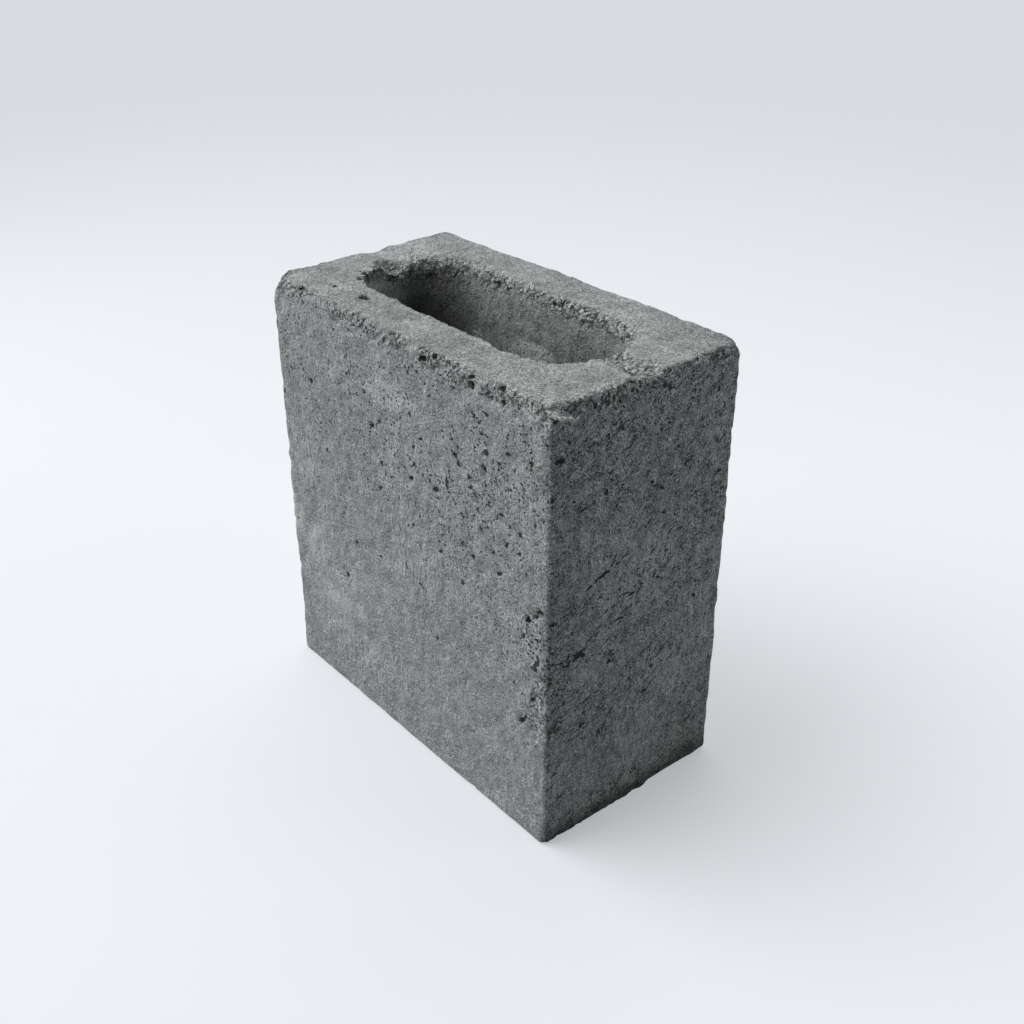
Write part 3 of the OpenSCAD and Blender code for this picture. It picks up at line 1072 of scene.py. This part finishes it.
def floor_material(stage):
    """Matt pale floor, a little darker far from the block, as a painted falloff of light.

    The camera sees part of its colour as even light, so its shadow stays pale, and other light sees a
    darker colour, so less is thrown back.
    """
    material = bpy.data.materials.new("floor")
    material.use_nodes = True
    tree = material.node_tree
    shader = tree.nodes["Principled BSDF"]
    place = add_node(tree, "ShaderNodeTexCoord").outputs["Object"]
    # Middle of the painted pool of light on the floor
    painted_light_middle = (-0.15, -0.1, 0)
    away = add_node(tree, "ShaderNodeVectorMath", {"operation": "DISTANCE"}, i0=place, i1=painted_light_middle)
    far = range_node(tree, away.outputs["Value"], 0.1, 1.5)
    colour = mix_colour(tree, far, stage.floor, stage.shaded_far_floor)
    ray = add_node(tree, "ShaderNodeLightPath").outputs
    seen = largest_of(tree, ray["Is Camera Ray"], ray["Is Glossy Ray"], ray["Is Transmission Ray"])
    share = range_node(tree, seen, 0, 1, stage.bounce, 1 - stage.glow)
    tree.links.new(mix_colour(tree, 1.0, colour, share, "MULTIPLY"), shader.inputs["Base Color"])
    shader.inputs["Roughness"].default_value = 1.0
    shader.inputs["Specular IOR Level"].default_value = 0.0
    tree.links.new(colour, shader.inputs["Emission Color"])
    tree.links.new(times(tree, seen, stage.glow), shader.inputs["Emission Strength"])
    return material


# Operators


class OBJECT_OT_concrete_block(bpy.types.Operator):
    """Makes the block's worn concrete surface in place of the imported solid"""

    bl_idname = "object.concrete_block"
    bl_label = "Concrete Block"

    def execute(self, context):
        shape, relief = context.scene.block_shape, context.scene.block_relief
        base = smooth_block(shape, relief)
        normals = grid_normals(base)
        depth, marks = relief_depth(base, normals, shape, relief)
        points = wear_rim(sink_bar_mark(wear_corners(base, shape), shape), shape)
        points = break_top_edge(chip_base(points - depth[..., None] * normals, shape), shape)
        points = np.clip(points, np.array(BLOCK_LOW), np.array(BLOCK_HIGH))
        faces = closed_grid_faces(*points.shape[:2])
        crumbled = marks["crumbled"].ravel()[faces].mean(axis=1) > 0.4
        faceted = crumbled | turned_faces(points, normals, faces)
        piece = grid_object("concrete_block", points.reshape(-1, 3), faces, faceted)
        marks["bloom"] = bloom_patches(base, normals, relief)
        marks["darkening_and_painted_light_factor"] = darkening_and_painted_light(base, normals, shape)
        marks["dragged"] = drag_marks(base, normals, relief)
        marks["speckle"] = speckle_and_grain_shade_strength(base, normals)
        marks["scratched"] = scratches(base, normals)
        for name, values in marks.items():
            add_point_values(piece, name, values)
        piece.data.materials.append(concrete_material(context.scene.concrete_finish))
        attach(piece, "root")
        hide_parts("block")
        return {"FINISHED"}


class OBJECT_OT_block_stage(bpy.types.Operator):
    """Makes the pale floor, the soft light and the camera"""

    bl_idname = "object.block_stage"
    bl_label = "Block Stage"

    def execute(self, context):
        stage = context.scene.block_stage
        scene = context.scene
        scene.view_settings.view_transform = "Standard"

        half = 6.0
        corners = np.array([[-half, -half, 0], [half, -half, 0], [half, half, 0], [-half, half, 0]])
        floor = grid_object("floor", corners, np.array([[0, 1, 2, 3]]), np.array([True]))
        floor.data.materials.append(floor_material(stage))

        world = bpy.data.worlds.new("studio")
        scene.world = world
        world.use_nodes = True
        tree = world.node_tree
        background = tree.nodes["Background"]
        background.inputs["Color"].default_value = (*stage.shaded_far_floor, 1)
        seen = add_node(tree, "ShaderNodeLightPath").outputs["Is Camera Ray"]
        strength = range_node(tree, seen, 0, 1, stage.ambient, stage.backdrop)
        tree.links.new(strength, background.inputs["Strength"])

        self.add_sun(scene, "key", Vector((-0.53, -0.52, 0.67)), stage.softness, stage.key)
        self.add_sun(scene, "back", Vector((-0.5, 0.45, 0.74)), stage.softness, stage.back)
        self.add_panel(scene, "side", Vector((-0.75, -0.45, 0.25)), 0.5, stage.side)
        self.add_panel(scene, "fill", Vector((0.55, 0.45, 0.35)), 0.4, stage.fill)

        scene.camera = self.make_camera(stage)
        scene.collection.objects.link(scene.camera)
        return {"FINISHED"}

    def add_lamp(self, scene, name, kind, towards):
        """Lamp that stands off from the block's middle by that much and shines on it."""
        lamp = bpy.data.lights.new(name, kind)
        holder = bpy.data.objects.new(name, lamp)
        holder.location = Vector((0, 0, BLOCK_SIZE.z / 2)) + towards
        holder.rotation_euler = towards.to_track_quat("Z", "Y").to_euler()
        holder.visible_camera = False
        scene.collection.objects.link(holder)
        return lamp

    def add_sun(self, scene, name, towards, softness, strength):
        """Even light that fills that angle. Its strength of 1 lights a facing white sheet white."""
        sun = self.add_lamp(scene, name, "SUN", towards)
        sun.angle = softness
        sun.energy = strength * math.pi

    def add_panel(self, scene, name, towards, size, strength):
        """Square light panel of that size. At the block its strength of 1 lights a facing white sheet white.

        The power is the strength times pi squared times the squared distance.
        """
        panel = self.add_lamp(scene, name, "AREA", towards)
        panel.size = size
        panel.energy = strength * (math.pi * towards.length) ** 2

    def make_camera(self, stage):
        """Camera on a sphere round the block's middle, slid so that the block sits as in the picture."""
        a, e = stage.azimuth, stage.elevation
        back = Vector((math.sin(a) * math.cos(e), -math.cos(a) * math.cos(e), math.sin(e)))
        right = Vector((math.cos(a), math.sin(a), 0))
        up = back.cross(right)
        slide_right, slide_up = 8.855 * MM, 1.383 * MM
        camera = bpy.data.objects.new("camera", bpy.data.cameras.new("camera"))
        camera.data.lens = stage.lens
        camera.data.sensor_width = 36
        camera.data.clip_start = 0.01
        turn = Matrix((right, up, back)).transposed().to_4x4()
        middle = Vector((0, 0, BLOCK_SIZE.z / 2))
        eye = middle + stage.distance * back + slide_right * right + slide_up * up
        camera.matrix_world = Matrix.Translation(eye) @ turn
        return camera


class VIEW3D_PT_concrete_block(bpy.types.Panel):
    """Settings and buttons for the block and its stage"""

    bl_label = "Concrete Block"
    bl_space_type = "VIEW_3D"
    bl_region_type = "UI"
    bl_category = "Block"

    def draw(self, context):
        for group in ("block_shape", "block_relief", "concrete_finish"):
            settings = getattr(context.scene, group)
            for name in settings.__annotations__:
                self.layout.prop(settings, name)
        self.layout.operator("object.concrete_block")
        for name in context.scene.block_stage.__annotations__:
            self.layout.prop(context.scene.block_stage, name)
        self.layout.operator("object.block_stage")


SETTINGS = {
    "block_shape": BlockShape,
    "block_relief": BlockRelief,
    "concrete_finish": ConcreteFinish,
    "block_stage": StageSettings,
}
CLASSES = (*SETTINGS.values(), OBJECT_OT_concrete_block, OBJECT_OT_block_stage, VIEW3D_PT_concrete_block)


def register():
    for cls in CLASSES:
        bpy.utils.register_class(cls)
    for name, group in SETTINGS.items():
        setattr(bpy.types.Scene, name, PointerProperty(type=group))


def unregister():
    for name in SETTINGS:
        delattr(bpy.types.Scene, name)
    for cls in reversed(CLASSES):
        bpy.utils.unregister_class(cls)


def main():
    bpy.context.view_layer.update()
    register()
    bpy.ops.object.concrete_block()
    bpy.ops.object.block_stage()


if __name__ == "__main__":
    main()
